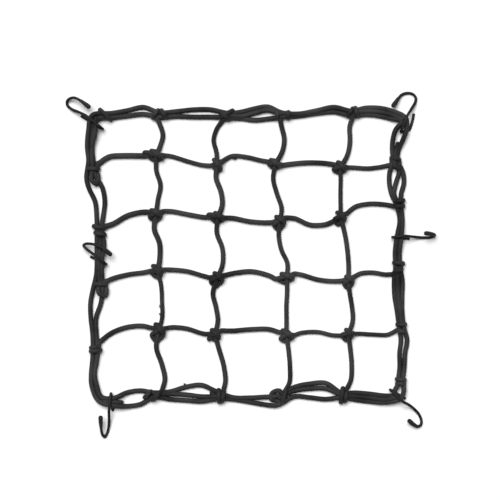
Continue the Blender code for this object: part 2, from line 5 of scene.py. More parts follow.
import bmesh
import bpy
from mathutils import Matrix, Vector


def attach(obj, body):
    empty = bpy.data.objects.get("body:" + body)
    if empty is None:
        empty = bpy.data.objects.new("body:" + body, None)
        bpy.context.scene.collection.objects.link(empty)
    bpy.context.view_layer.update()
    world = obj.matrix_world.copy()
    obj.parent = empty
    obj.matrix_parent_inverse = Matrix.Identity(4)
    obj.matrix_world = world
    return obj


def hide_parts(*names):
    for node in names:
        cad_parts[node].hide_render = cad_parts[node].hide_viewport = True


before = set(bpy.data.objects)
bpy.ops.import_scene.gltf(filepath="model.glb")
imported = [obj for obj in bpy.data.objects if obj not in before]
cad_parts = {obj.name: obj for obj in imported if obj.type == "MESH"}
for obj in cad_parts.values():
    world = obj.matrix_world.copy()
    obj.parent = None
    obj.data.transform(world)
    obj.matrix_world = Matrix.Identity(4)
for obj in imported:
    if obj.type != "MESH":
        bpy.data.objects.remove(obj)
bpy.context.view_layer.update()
mm = 0.001
planMiddle = (251.66, 265.1)   # plan place over the origin


# node helpers
def addNode(tree, kind, x=0, y=0, **values):
    node = tree.nodes.new(kind)
    node.location = (x, y)
    for name, value in values.items():
        setattr(node, name, value)
    return node


def mathNode(tree, operation, first, second=None, clamp=False):
    node = addNode(tree, "ShaderNodeMath", operation=operation, use_clamp=clamp)
    for socket, value in zip(node.inputs, (first, second)):
        if isinstance(value, (int, float)):
            socket.default_value = value
        elif value is not None:
            tree.links.new(value, socket)
    return node.outputs[0]


def newMaterial(name):
    material = bpy.data.materials.new(name)
    material.use_nodes = True
    tree = material.node_tree
    return material, tree, tree.nodes["Principled BSDF"]


def groupOf(name, inputs, outputs):
    group = bpy.data.node_groups.new(name, "ShaderNodeTree")
    for socketName, kind, default in inputs:
        socket = group.interface.new_socket(socketName, in_out="INPUT", socket_type=kind)
        socket.default_value = default
    for socketName, kind in outputs:
        group.interface.new_socket(socketName, in_out="OUTPUT", socket_type=kind)
    return group, addNode(group, "NodeGroupInput", -1400), addNode(group, "NodeGroupOutput", 900)


# shared effects
braidShape = {"overShare": 0.7, "underShare": 0.3, "fibreScale": 2600.0, "fibreDetail": 3.0}


def buildBraidGroup(shape):
    # two sets of yarns that cross on a slant; UV is millimetres along and turns around
    group, ins, outs = groupOf(
        "braidedCover",
        [("Pitch", "NodeSocketFloat", 2.6), ("Carriers", "NodeSocketFloat", 8.0)],
        [("Height", "NodeSocketFloat"), ("Yarn", "NodeSocketFloat")])
    uv = addNode(group, "ShaderNodeUVMap", -1400, -300, uv_map="UVMap")
    split = addNode(group, "ShaderNodeSeparateXYZ", -1200, -300)
    group.links.new(uv.outputs[0], split.inputs[0])
    along = mathNode(group, "DIVIDE", split.outputs[0], ins.outputs["Pitch"])
    around = mathNode(group, "MULTIPLY", split.outputs[1], ins.outputs["Carriers"])
    ridges = []
    for sign in ("ADD", "SUBTRACT"):
        phase = mathNode(group, sign, mathNode(group, "MULTIPLY", along, ins.outputs["Carriers"]), around)
        saw = mathNode(group, "PINGPONG", mathNode(group, "ABSOLUTE", phase), 0.5)
        ridges.append(mathNode(group, "SINE", mathNode(group, "MULTIPLY", saw, math.pi)))
    over = mathNode(group, "MAXIMUM", ridges[0], ridges[1])
    under = mathNode(group, "MINIMUM", ridges[0], ridges[1])
    height = mathNode(group, "ADD", mathNode(group, "MULTIPLY", over, shape["overShare"]),
                      mathNode(group, "MULTIPLY", under, shape["underShare"]))
    group.links.new(height, outs.inputs["Height"])
    fibre = addNode(group, "ShaderNodeTexNoise", -600, -600)
    fibre.inputs["Scale"].default_value = shape["fibreScale"]
    fibre.inputs["Detail"].default_value = shape["fibreDetail"]
    place = addNode(group, "ShaderNodeTexCoord", -900, -600)
    group.links.new(place.outputs["Object"], fibre.inputs["Vector"])
    group.links.new(fibre.outputs["Fac"], outs.inputs["Yarn"])
    return group


def buildWearGroup():
    # slow patches and fine specks over a surface, from its place on the object
    group, ins, outs = groupOf(
        "patchesAndSpecks",
        [("Patch Size", "NodeSocketFloat", 25.0), ("Speck Size", "NodeSocketFloat", 900.0)],
        [("Patch", "NodeSocketFloat"), ("Speck", "NodeSocketFloat")])
    place = addNode(group, "ShaderNodeTexCoord", -1200, -200)
    for name, size, detail in (("Patch", "Patch Size", 3.0), ("Speck", "Speck Size", 5.0)):
        noise = addNode(group, "ShaderNodeTexNoise", -800, -200)
        noise.inputs["Detail"].default_value = detail
        group.links.new(place.outputs["Object"], noise.inputs["Vector"])
        group.links.new(ins.outputs[size], noise.inputs["Scale"])
        group.links.new(noise.outputs["Fac"], outs.inputs[name])
    return group


braidedCover = buildBraidGroup(braidShape)
patchesAndSpecks = buildWearGroup()


def placeGroup(tree, group, **values):
    node = addNode(tree, "ShaderNodeGroup", -900, 0, node_tree=group)
    for name, value in values.items():
        node.inputs[name.replace("_", " ")].default_value = value
    return node


def ramp(tree, factor, *stops):
    node = addNode(tree, "ShaderNodeValToRGB", -400)
    elements = node.color_ramp.elements
    while len(elements) < len(stops):
        elements.new(0.5)
    for element, (position, colour) in zip(elements, stops):
        element.position = position
        element.color = (*colour, 1.0)
    tree.links.new(factor, node.inputs[0])
    return node.outputs["Color"]


def bump(tree, shader, height, strength, distance):
    node = addNode(tree, "ShaderNodeBump", -200, -400)
    node.inputs["Strength"].default_value = strength
    node.inputs["Distance"].default_value = distance
    tree.links.new(height, node.inputs["Height"])
    tree.links.new(node.outputs[0], shader.inputs["Normal"])


cordLook = {
    "pitch": 13.0,             # millimetres for one turn of a yarn round the cord
    "carriers": 12.0,
    # painted shade: the near-black colour given to the braid's grooves
    "paintedGrooveShade": (0.002, 0.002, 0.002),
    "dark": (0.009, 0.009, 0.0093),
    "light": (0.042, 0.042, 0.0432),
    "patchSize": 34.0, "patchStart": 0.27, "patchGain": 2.1,
    "yarnShare": 0.5, "yarnRelief": 0.35,
    "speckSize": 1400.0, "roughness": 0.5, "roughSpread": 0.3,
    "specular": 0.3,
    "relief": 0.0003, "bumpStrength": 0.8,
}
wireLook = {"dark": (0.006, 0.006, 0.0063), "light": (0.013, 0.013, 0.0136),
            "roughness": 0.46, "speckSize": 1500.0, "relief": 0.00008}
tipLook = {"dark": (0.009, 0.009, 0.0093), "light": (0.020, 0.020, 0.0206),
           "roughness": 0.54, "speckSize": 1100.0, "relief": 0.00012}
coatLook = {"patchSize": 140.0, "roughSpread": 0.25, "specular": 0.22, "bumpStrength": 0.5}


def elasticCordMaterial(look):
    material, tree, shader = newMaterial("elasticCordCover")
    braid = placeGroup(tree, braidedCover, Pitch=look["pitch"], Carriers=look["carriers"])
    wear = placeGroup(tree, patchesAndSpecks, Patch_Size=look["patchSize"], Speck_Size=look["speckSize"])
    patch = mathNode(tree, "SUBTRACT", wear.outputs["Patch"], look["patchStart"])
    patch = mathNode(tree, "MULTIPLY", patch, look["patchGain"], clamp=True)
    yarn = mathNode(tree, "MULTIPLY", braid.outputs["Yarn"], look["yarnShare"])
    # the colour follows the braid's height: its grooves take a near-black painted shade and its yarn tops
    # the lighter colour as painted light, varied by random patches and fibre noise
    grooveShadeAndPatches = mathNode(tree, "MULTIPLY", braid.outputs["Height"], mathNode(tree, "ADD", patch, yarn),
                    clamp=True)
    colour = ramp(tree, grooveShadeAndPatches, (0.0, look["paintedGrooveShade"]), (0.35, look["dark"]), (0.85, look["light"]))
    tree.links.new(colour, shader.inputs["Base Color"])
    speck = mathNode(tree, "MULTIPLY", wear.outputs["Speck"], look["roughSpread"])
    tree.links.new(mathNode(tree, "ADD", look["roughness"], speck), shader.inputs["Roughness"])
    shader.inputs["Specular IOR Level"].default_value = look["specular"]
    height = mathNode(tree, "ADD", braid.outputs["Height"],
                      mathNode(tree, "MULTIPLY", braid.outputs["Yarn"], look["yarnRelief"]))
    bump(tree, shader, height, look["bumpStrength"], look["relief"])
    return material


def hookMaterial(name, look, coat):
    material, tree, shader = newMaterial(name)
    wear = placeGroup(tree, patchesAndSpecks, Patch_Size=coat["patchSize"], Speck_Size=look["speckSize"])
    colour = ramp(tree, wear.outputs["Patch"], (0.3, look["dark"]), (0.75, look["light"]))
    tree.links.new(colour, shader.inputs["Base Color"])
    speck = mathNode(tree, "MULTIPLY", wear.outputs["Speck"], coat["roughSpread"])
    tree.links.new(mathNode(tree, "ADD", look["roughness"], speck), shader.inputs["Roughness"])
    shader.inputs["Specular IOR Level"].default_value = coat["specular"]
    bump(tree, shader, wear.outputs["Speck"], coat["bumpStrength"], look["relief"])
    return material


cordMaterial = elasticCordMaterial(cordLook)
wireMaterial = hookMaterial("coatedWire", wireLook, coatLook)
tipMaterial = hookMaterial("dippedVinyl", tipLook, coatLook)
print("materials made")

# the net's knots: place, heading of the tied cord, reach on the near and far side, spread,
# then for a mesh knot the levels where its row comes in and leaves, for a rim knot the place
# where the mesh cord meets it
meshKnots = {
    "K11": (156.5, 155.5, -6, 10.0, 4.8, 3.5, 155.9, 155.4),
    "K12": (217.5, 165.0, -10, 4.2, 4.2, 4.0, 165.7, 160.2),
    "K13": (275.5, 164.0, -28, 6.5, 4.6, 2.9, 161.5, 165.3),
    "K14": (340.5, 168.0, -22, 6.0, 4.6, 3.7, 164.3, 167.5),
    "K21": (156.0, 215.0, -13, 6.0, 5.5, 3.6, 212.2, 211.4),
    "K22": (218.0, 217.5, -16, 9.5, 5.0, 3.4, 217.5, 218.0),
    "K23": (279.5, 223.5, -13, 4.6, 4.2, 4.8, 222.5, 217.9),
    "K24": (341.0, 218.0, 12, 5.5, 4.2, 4.8, 221.6, 213.0),
    "K31": (158.0, 271.5, 5, 5.6, 5.2, 3.6, 271.3, 269.8),
    "K32": (217.0, 279.5, -25, 5.2, 6.0, 5.0, 277.6, 275.3),
    "K33": (287.0, 277.0, -8, 9.0, 5.5, 4.0, 279.0, 273.8),
    "K34": (348.5, 282.0, -4, 4.6, 4.4, 4.0, 281.0, 276.2),
    "K41": (158.5, 332.5, -22, 6.0, 6.2, 4.8, 327.8, 328.2),
    "K42": (215.0, 335.0, -4, 6.5, 4.6, 4.0, 334.2, 330.8),
    "K43": (286.5, 335.5, -7, 5.4, 5.6, 3.2, 332.2, 335.2),
    "K44": (348.5, 334.5, -9, 5.0, 4.4, 3.6, 335.6, 333.8),
}
# places of a mesh knot's loops: the upper bump, the right lobe, the back of the held cord under
# both and the left lobe
knotLoops = {
    "K11": ((152.2, 151.4), (162.3, 158.1), (154.7, 160.4), (144.8, 152.9)),
    "K12": ((214.7, 160.4), (220.8, 168.4), (217.6, 171.2), (213.9, 165.2)),
    "K13": ((271.6, 160.6), (279.6, 166.1), (275.0, 168.4), (269.5, 164.2)),
    "K14": ((338.7, 162.9), (345.1, 169.6), (340.2, 173.0), (334.1, 169.9)),
    "K21": ((152.2, 210.8), (160.8, 215.2), (156.0, 221.3), (150.3, 217.3)),
    "K22": ((215.9, 213.6), (223.0, 218.8), (216.9, 222.4), (208.8, 215.1)),
    "K23": ((277.0, 217.4), (284.2, 222.0), (279.3, 230.3), (274.6, 225.4)),
    "K24": ((338.0, 213.2), (344.8, 218.9), (338.4, 224.6), (334.9, 219.7)),
    "K31": ((153.8, 266.6), (161.2, 274.0), (157.0, 277.2), (151.8, 272.3)),
    "K32": ((215.2, 273.8), (222.5, 279.3), (216.2, 286.6), (211.3, 281.6)),
    "K33": ((282.4, 274.4), (292.8, 277.8), (284.4, 282.6), (278.2, 279.4)),
    "K34": ((346.8, 277.2), (352.4, 280.8), (349.0, 288.6), (344.8, 284.2)),
    "K41": ((156.3, 324.9), (163.9, 333.5), (156.9, 342.0), (152.2, 335.2)),
    "K42": ((212.6, 330.6), (219.0, 336.6), (215.4, 340.2), (210.6, 336.2)),
    "K43": ((283.4, 331.0), (292.4, 337.0), (285.6, 341.4), (281.0, 338.8)),
    "K44": ((346.8, 330.4), (351.8, 335.5), (346.8, 340.4), (342.3, 335.3)),
}
rimKnots = {
    "T1": (159.5, 115.0, 90, 3.8, 3.5, 5.0, 157.5, 119.5),
    "T2": (228.0, 115.5, 90, 4.4, 4.2, 5.0, 224.0, 119.5),
    "T3": (281.5, 115.0, 90, 3.8, 3.5, 5.3, 280.3, 119.8),
    "T4": (352.0, 113.5, 90, 5.2, 5.0, 4.0, 352.3, 118.5),
    "L1": (93.0, 174.5, 180, 4.7, 4.7, 7.0, 97.5, 164.8),
    "L2": (99.5, 229.5, 180, 5.3, 5.5, 3.6, 104.0, 227.0),
    "L3": (100.5, 288.0, 180, 5.5, 5.0, 5.0, 105.0, 282.0),
    "L4": (95.5, 348.5, 180, 4.0, 3.9, 2.8, 99.0, 343.0),
    "R1": (395.5, 161.0, 0, 4.3, 3.6, 5.4, 391.5, 164.6),
    "R2": (399.0, 205.0, 0, 4.7, 4.0, 5.6, 392.5, 206.0),
    "R3": (398.0, 267.0, 0, 4.2, 4.2, 7.0, 392.5, 274.2),
    "R4": (401.5, 326.5, 0, 3.8, 3.8, 4.0, 396.0, 330.8),
    "R5": (400.5, 381.0, 0, 3.7, 3.7, 2.6, 396.0, 381.0),
    "B1": (154.0, 395.0, 270, 4.0, 4.0, 7.0, 162.0, 391.0),
    "B2": (218.0, 396.5, 270, 5.0, 5.4, 4.5, 223.8, 390.0),
    "B3": (279.0, 398.0, 262, 6.4, 8.2, 5.6, 285.0, 391.5),
    "B4": (341.6, 395.3, 266, 6.2, 7.2, 4.6, 346.8, 389.5),
}
# a rim knot's band over the bundle, from its mesh side to its outer side, then its second turn:
# two places are another band, four are a loop that lies along the bundle
rimBands = {
    "T1": ((153.0, 117.4), (158.4, 110.6), (166.0, 117.6), (161.6, 110.6)),
    "T2": ((229.4, 119.3), (222.0, 113.6), (220.4, 117.6), (232.8, 110.8)),
    "T3": ((278.0, 118.4), (276.8, 112.8), (288.2, 118.0), (288.6, 112.4)),
    "T4": ((348.0, 115.6), (353.0, 108.8), (357.4, 116.2), (355.4, 108.2)),
    "R1": ((391.8, 157.6), (399.4, 159.8), (399.6, 163.2), (398.8, 169.0), (395.0, 166.4), (395.0, 161.0)),
    "R2": ((394.4, 206.8), (403.2, 206.0), (395.8, 201.6), (403.6, 200.6)),
    "R3": ((395.0, 272.4), (401.6, 268.8), (394.2, 262.8), (403.2, 263.6)),
    "R4": ((397.4, 330.2), (403.6, 332.2), (397.6, 324.6), (405.2, 324.4)),
    "R5": ((397.0, 383.6), (404.4, 383.8), (397.0, 379.2), (404.8, 380.0)),
    "B1": ((161.0, 391.8), (152.8, 399.8), (151.0, 391.6), (145.0, 397.6)),
    "B2": ((224.0, 392.4), (222.2, 401.2), (218.8, 390.2), (219.4, 402.0)),
    "B3": ((286.4, 390.2), (282.0, 402.6), (271.6, 399.6), (272.0, 393.4), (279.4, 390.6), (283.6, 397.0)),
    "B4": ((347.0, 391.8), (345.0, 401.2), (343.0, 388.4), (341.0, 402.2)),
    "L4": ((99.2, 346.6), (91.2, 348.0), (100.6, 350.2), (91.0, 351.4)),
    "L3": ((106.4, 284.6), (95.2, 284.0), (106.6, 289.0), (105.2, 295.6), (99.4, 293.4), (98.8, 287.0)),
    "L2": ((104.8, 228.2), (94.0, 226.4), (104.8, 235.0), (95.6, 233.0)),
    "L1": ((98.4, 169.2), (88.2, 168.8), (98.4, 175.0), (96.6, 184.0), (92.0, 180.0), (92.4, 171.6)),
}
# stretches of mesh cord between two knots: thickness, and its place a quarter, a half and three
# quarters of the way
rowSpans = (
    ("L1", "K11", 5.6, 157.2, 155.8, 155.9), ("K11", "K12", 4.5, 156.5, 161.2, 165.2),
    ("K12", "K13", 4.7, 156.3, 157.2, 160.6), ("K13", "K14", 5.0, 164.1, 162.8, 163.3),
    ("K14", "R1", 4.5, 167.7, 168.5, 166.9),
    ("L2", "K21", 5.4, 223.8, 215.8, 212.4), ("K21", "K22", 4.9, 211.5, 214.4, 217.2),
    ("K22", "K23", 5.0, 218.3, 221.5, 222.8), ("K23", "K24", 5.0, 218.6, 225.0, 224.6),
    ("K24", "R2", 4.7, 206.9, 204.0, 204.6),
    ("L3", "K31", 4.8, 278.0, 274.6, 272.7), ("K31", "K32", 4.8, 270.0, 271.6, 275.8),
    ("K32", "K33", 5.0, 273.3, 271.7, 275.9), ("K33", "K34", 4.8, 275.1, 279.7, 281.4),
    ("K34", "R3", 4.6, 273.6, 272.8, 274.7),
    ("L4", "K41", 5.0, 333.4, 327.5, 326.2), ("K41", "K42", 4.7, 327.5, 328.8, 333.3),
    ("K42", "K43", 4.9, 331.0, 329.6, 329.4), ("K43", "K44", 4.4, 333.0, 332.2, 335.5),
    ("K44", "R4", 4.3, 334.0, 334.8, 334.8),
)
columnSpans = (
    ("T1", "K11", 4.9, 160.2, 163.0, 160.6), ("K11", "K21", 4.7, 156.4, 160.6, 158.0),
    ("K21", "K31", 5.3, 154.4, 159.6, 160.0), ("K31", "K41", 4.3, 161.3, 162.1, 162.3),
    ("K41", "B1", 5.0, 156.5, 161.7, 165.0),
    ("T2", "K12", 4.6, 217.5, 213.8, 216.6), ("K12", "K22", 5.2, 216.3, 220.9, 222.5),
    ("K22", "K32", 4.8, 217.0, 222.5, 222.8), ("K32", "K42", 4.9, 213.1, 216.1, 218.0),
    ("K42", "B2", 4.9, 219.4, 223.8, 225.6),
    ("T3", "K13", 5.0, 281.9, 284.5, 282.4), ("K13", "K23", 4.7, 273.4, 277.1, 281.8),
    ("K23", "K33", 4.6, 279.0, 281.7, 287.6), ("K33", "K43", 4.6, 287.3, 286.6, 286.7),
    ("K43", "B3", 4.6, 288.8, 290.1, 289.7),
    ("T4", "K14", 4.9, 349.9, 350.2, 347.9), ("K14", "K24", 4.4, 340.9, 340.7, 340.8),
    ("K24", "K34", 4.8, 345.1, 347.6, 348.8), ("K34", "K44", 4.7, 350.2, 352.4, 352.9),
    ("K44", "B4", 4.8, 350.6, 351.9, 351.1),
)
# rim corners, with the way out from the net
corners = {
    "TL": (96.0, 117.5, (-0.7, -0.7)),
    "TR": (403.5, 120.0, (0.75, -0.65)),
    "BL": (100.0, 398.5, (-0.75, 0.65)),
    "BR": (399.0, 397.0, (0.7, 0.7)),
}
rimPosts = {("TL", "outer"): (92.6, 115.6), ("TR", "outer"): (405.8, 118.4),
            ("BL", "outer"): (98.8, 401.0), ("L1", "outer"): (86.7, 178.5),
            ("L3", "outer"): (92.8, 291.0), ("B2", "inner"): (214.0, 390.5),
            ("B3", "outer"): (276.5, 405.4)}
# stretches of the rim, clockwise: its outer and inner cord, each with a lift over where it rests
rimBays = (
    ("TL", "T1", (113.3, 110.5, 107.3), 0, (117.8, 116.0, 114.3), 0),
    ("T1", "T2", (111.5, 109.7, 109.7), 0, (116.4, 117.0, 117.0), 0),
    ("T2", "T3", (112.0, 108.7, 106.9), 0, (118.5, 120.2, 118.9), 0),
    ("T3", "T4", (114.0, 110.8, 107.4), 3, (116.0, 113.4, 112.0), 0),
    ("T4", "TR", (108.2, 108.0, 110.5), 0, (114.6, 115.6, 118.5), 0),
    ("TR", "R1", (406.3, 402.7, 398.6), 0, (395.6, 392.9, 392.5), 0),
    ("R1", "R2", (403.0, 404.2, 401.4), 0, (390.0, 389.6, 391.8), 0),
    ("R2", "R3", (402.6, 401.4, 399.8), 0, (400.0, 397.2, 395.3), 0),
    ("R3", "R4", (402.7, 402.3, 402.4), 0, (394.4, 395.0, 397.4), 0),
    ("R4", "R5", (407.3, 405.3, 404.6), 0, (401.2, 399.9, 400.0), 0),
    ("R5", "BR", (403.4, 404.0, 403.4), 0, (397.8, 395.6, 394.0), 0),
    ("BR", "B4", (402.5, 401.8, 400.0), 0, (395.8, 394.2, 393.0), 0),
    ("B4", "B3", (399.4, 397.8, 396.8), 0, (383.4, 384.0, 387.4), 0),
    ("B3", "B2", (404.6, 402.0, 399.6), 0, (397.2, 398.0, 397.6), 1),
    ("B2", "B1", (401.6, 400.6, 399.5), 0, (385.4, 387.2, 391.9), 0),
    ("B1", "BL", (404.5, 406.4, 405.6), 0, (390.9, 392.8, 398.2), 0),
    ("BL", "L4", (91.8, 91.3, 92.5), 0, (97.0, 94.8, 96.8), 1),
    ("L4", "L3", (92.6, 90.9, 90.6), 0, (96.4, 96.2, 101.0), 0),
    ("L3", "L2", (96.7, 97.3, 97.0), 0, (102.0, 102.2, 104.2), 0),
    ("L2", "L1", (96.7, 95.2, 89.0), 0, (103.4, 104.9, 102.6), 0),
    ("L1", "TL", (88.6, 87.3, 88.6), 0, (93.4, 92.2, 93.6), 0),
)
thirdCords = (
    ("T2", "T3", (116.4, 113.0, 110.2), 1.5), ("T4", "TR", (111.6, 111.8, 114.6), 1.5),
    ("R1", "R2", (399.2, 396.2, 394.2), 0.5), ("R3", "R4", (397.6, 398.2, 400.2), 3.0),
    ("B4", "B3", (388.9, 388.8, 391.0), 0.0), ("B2", "B1", (396.8, 394.9, 394.2), 0.5),
    ("L1", "TL", (92.6, 92.6, 95.6), 2.5), ("BR", "B4", (399.2, 398.0, 396.6), 1.0),
    ("L3", "L2", (99.4, 99.6, 100.6), 0.6),
)
cutEnds = (
    ((104.0, 401.5), (124.0, 402.6), 0.0), ((100.0, 109.8), (111.5, 120.5), 5.0),
    ((395.0, 157.0), (398.2, 142.0), 1.5), ((401.5, 206.0), (396.5, 212.5), 1.0),
    ((219.0, 333.0), (207.3, 340.3), 0.0), ((216.0, 397.0), (210.5, 391.5), 0.0),
)
# hooks: the wire under the rim from its cut end on, the eye's bend inside the net, the shank
# where it comes off the rim, and the open hook's bends to its tip's end
hookShapes = {
    "back_left": (((80.8, 115.8),), (103.0, 129.2), (87.5, 116.8), (
        (79.0, 112.4, 7.0), (71.6, 109.2, 3.6), (67.5, 105.4, 1.8), (67.2, 101.6, 2.8),
        (70.0, 98.9, 5.2), (74.6, 98.2, 7.6), (79.5, 100.2, 9.4), (85.0, 104.0, 10.6),
        (91.0, 108.6, 11.2))),
    "back_right": (((414.2, 113.6), (412.2, 123.0), (408.8, 130.6)), (400.9, 131.9), (406.5, 117.5), (
        (411.8, 108.6, 6.5), (415.6, 102.0, 3.0), (416.0, 97.6, 1.6), (412.6, 94.0, 1.6),
        (407.6, 93.2, 1.8), (402.4, 94.6, 2.6), (398.8, 98.2, 4.2), (395.5, 102.8, 6.2),
        (392.2, 107.6, 8.4))),
    "left": (((90.2, 256.6),), (106.6, 264.4), (95.5, 255.6), (
        (89.6, 251.2, 8.5), (85.6, 248.0, 6.6), (83.9, 245.6, 6.4), (86.4, 244.0, 8.4),
        (91.0, 244.0, 11.0), (97.0, 245.2, 13.0), (103.0, 247.8, 13.4), (107.5, 251.4, 12.4),
        (112.3, 255.8, 10.6))),
    "right": (((410.0, 238.8),), (392.4, 237.4), (404.5, 236.2), (
        (413.0, 236.9, 6.5), (422.0, 237.7, 2.6), (429.6, 237.6, 1.5), (434.0, 236.4, 3.2),
        (434.9, 235.4, 6.6), (433.2, 234.6, 10.2), (429.6, 234.0, 12.8), (423.4, 233.4, 14.2))),
    "front_left": (((112.9, 411.3),), (111.3, 393.5), (109.6, 409.5), (
        (109.4, 418.0, 6.8), (108.9, 426.0, 3.2), (107.4, 433.0, 1.5), (104.8, 437.0, 2.4),
        (102.6, 434.4, 5.6), (101.8, 429.6, 8.6), (101.4, 423.5, 10.6), (101.2, 415.2, 12.0))),
    "front_right": (((406.0, 399.0),), (390.2, 389.8), (402.8, 401.4), (
        (408.5, 404.6, 7.5), (414.5, 409.3, 4.2), (419.2, 414.6, 2.0), (421.6, 420.4, 1.5),
        (421.2, 424.8, 2.4), (418.0, 426.6, 3.8), (413.8, 424.6, 5.4), (407.8, 419.6, 7.2))),
}
cordSizes = {"rim": 4.9, "knot": 4.6, "knotLevel": 5.3, "knotFade": 8.5,
             "wrapLift": 4.0, "wrapFullness": 0.6, "postLift": 0.5, "rowRun": 2.5, "rimPress": 0.15,
             "sides": 8, "step": 0.9, "layStep": 4.0}
hookSizes = {"wire": 2.8, "tip": 4.6, "tipLength": 12.0, "swell": 8.0, "top": 11.3, "cordLift": 4.0,
             "flat": 6.0, "fade": 9.0, "cutEnd": 0.8, "covered": 8, "tipStart": 0.25,
             "sides": 6, "step": 0.7}
allKnots = {**meshKnots, **rimKnots}


# cords
def planDistance(x, y, start, end):
    alongX, alongY = end[0] - start[0], end[1] - start[1]
    part = ((x - start[0]) * alongX + (y - start[1]) * alongY) / (alongX ** 2 + alongY ** 2)
    part = min(1.0, max(0.0, part))
    return math.hypot(x - start[0] - part * alongX, y - start[1] - part * alongY)


def restHeight(x, y, thick):
    # a slack cord's middle: on the surface, or lifted by a knot or a hook's eye near it
    base = thick / 2
    lift = 0.0
    for knot in allKnots.values():
        away = math.hypot(x - knot[0], y - knot[1])
        lift = max(lift, (cordSizes["knotLevel"] - base) * math.exp(-(away / cordSizes["knotFade"]) ** 2))
    for under, eye, _, _ in hookShapes.values():
        for start, end in zip(under, under[1:] + (eye,)):
            away = max(0.0, planDistance(x, y, start, end) - hookSizes["flat"])
            lift = max(lift, hookSizes["cordLift"] * math.exp(-(away / hookSizes["fade"]) ** 2))
    return base + lift


def smoothPath(stops, step, closed=False):
    # centripetal curve through stops of (x, y, z, thickness)
    rows = [Vector(stop) for stop in stops]
    if closed:
        rows = [rows[-1]] + rows + [rows[0], rows[1]]
    else:
        rows = [rows[0] * 2 - rows[1]] + rows + [rows[-1] * 2 - rows[-2]]
    points = []
    for a, b, c, d in zip(rows, rows[1:], rows[2:], rows[3:]):
        gaps = [max(0.001, (q - p).xyz.length) ** 0.5 for p, q in ((a, b), (b, c), (c, d))]
        t1, t2, t3 = gaps[0], gaps[0] + gaps[1], sum(gaps)
        count = max(1, round((c - b).xyz.length / step))
        for number in range(count):
            t = t1 + (t2 - t1) * number / count
            ab = a * ((t1 - t) / t1) + b * (t / t1)
            bc = b * ((t2 - t) / (t2 - t1)) + c * ((t - t1) / (t2 - t1))
            cd = c * ((t3 - t) / (t3 - t2)) + d * ((t - t2) / (t3 - t2))
            abc = ab * ((t2 - t) / t2) + bc * (t / t2)
            bcd = bc * ((t3 - t) / (t3 - t1)) + cd * ((t - t1) / (t3 - t1))
            points.append(abc * ((t2 - t) / (t2 - t1)) + bcd * ((t - t1) / (t2 - t1)))
    if not closed:
        points.append(rows[-2])
    return points


def toWorld(point):
    return Vector(((point[0] - planMiddle[0]) * mm, (planMiddle[1] - point[1]) * mm, point[2] * mm))


# a nose turns to just short of a right angle, so that its end keeps a small face
strandFinish = {"mergeWithin": 0.000001, "sharpFrom": math.radians(60), "noseTurn": math.radians(86)}


def strand(name, points, sides, material, closed=False):
    # a round strand that nowhere dips into the surface; its UV is millimetres along and turns around
    for point in points:
        point.z = max(point.z, point.w / 2)
    curve = bpy.data.curves.new(name, "CURVE")
    curve.dimensions = "3D"
    curve.bevel_depth = mm / 2
    curve.bevel_resolution = sides
    curve.use_fill_caps = True
    curve.twist_mode = "MINIMUM"
    spline = curve.splines.new("POLY")
    spline.points.add(len(points) - 1)
    spline.use_cyclic_u = closed
    runs = [0.0]
    for stop, point in zip(spline.points, points):
        stop.co = (*toWorld(point), 1.0)
        stop.radius = point[3]
    for first, second in zip(points, points[1:] + points[:1]):
        runs.append(runs[-1] + (second - first).xyz.length)
    guide = bpy.data.objects.new(name + "Route", curve)
    bpy.context.scene.collection.objects.link(guide)
    bpy.context.view_layer.update()
    graph = bpy.context.evaluated_depsgraph_get()
    mesh = bpy.data.meshes.new_from_object(guide.evaluated_get(graph))
    bpy.data.objects.remove(guide)
    last = len(points) if closed else len(points) - 1
    for corner in mesh.uv_layers["UVMap"].data:
        corner.uv.x = runs[round(corner.uv.x * last)]
    shape = bmesh.new()
    shape.from_mesh(mesh)
    bmesh.ops.remove_doubles(shape, verts=shape.verts, dist=strandFinish["mergeWithin"])
    bmesh.ops.recalc_face_normals(shape, faces=shape.faces)
    shape.to_mesh(mesh)
    shape.free()
    mesh.shade_smooth()
    mesh.set_sharp_from_angle(angle=strandFinish["sharpFrom"])
    mesh.materials.clear()
    mesh.materials.append(material)
    piece = bpy.data.objects.new(name, mesh)
    bpy.context.scene.collection.objects.link(piece)
    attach(piece, "root")
    return piece


def roundEnd(points, thick, steps=5):
    # close a strand's far end with a half round nose
    nose = (points[-1] - points[-2]).xyz.normalized()
    tipEnd = points[-1].xyz
    kept = [p for p in points if (p.xyz - tipEnd).length > thick / 2]
    centre = tipEnd - nose * thick / 2
    for number in range(steps + 1):
        angle = strandFinish["noseTurn"] * number / steps
        spot = centre + nose * (thick / 2) * math.sin(angle)
        kept.append(Vector((*spot, thick * math.cos(angle))))
    return kept


def between(first, second, part, aside=0.0, down=0.0):
    return (first[0] + (second[0] - first[0]) * part + aside,
            first[1] + (second[1] - first[1]) * part + down)


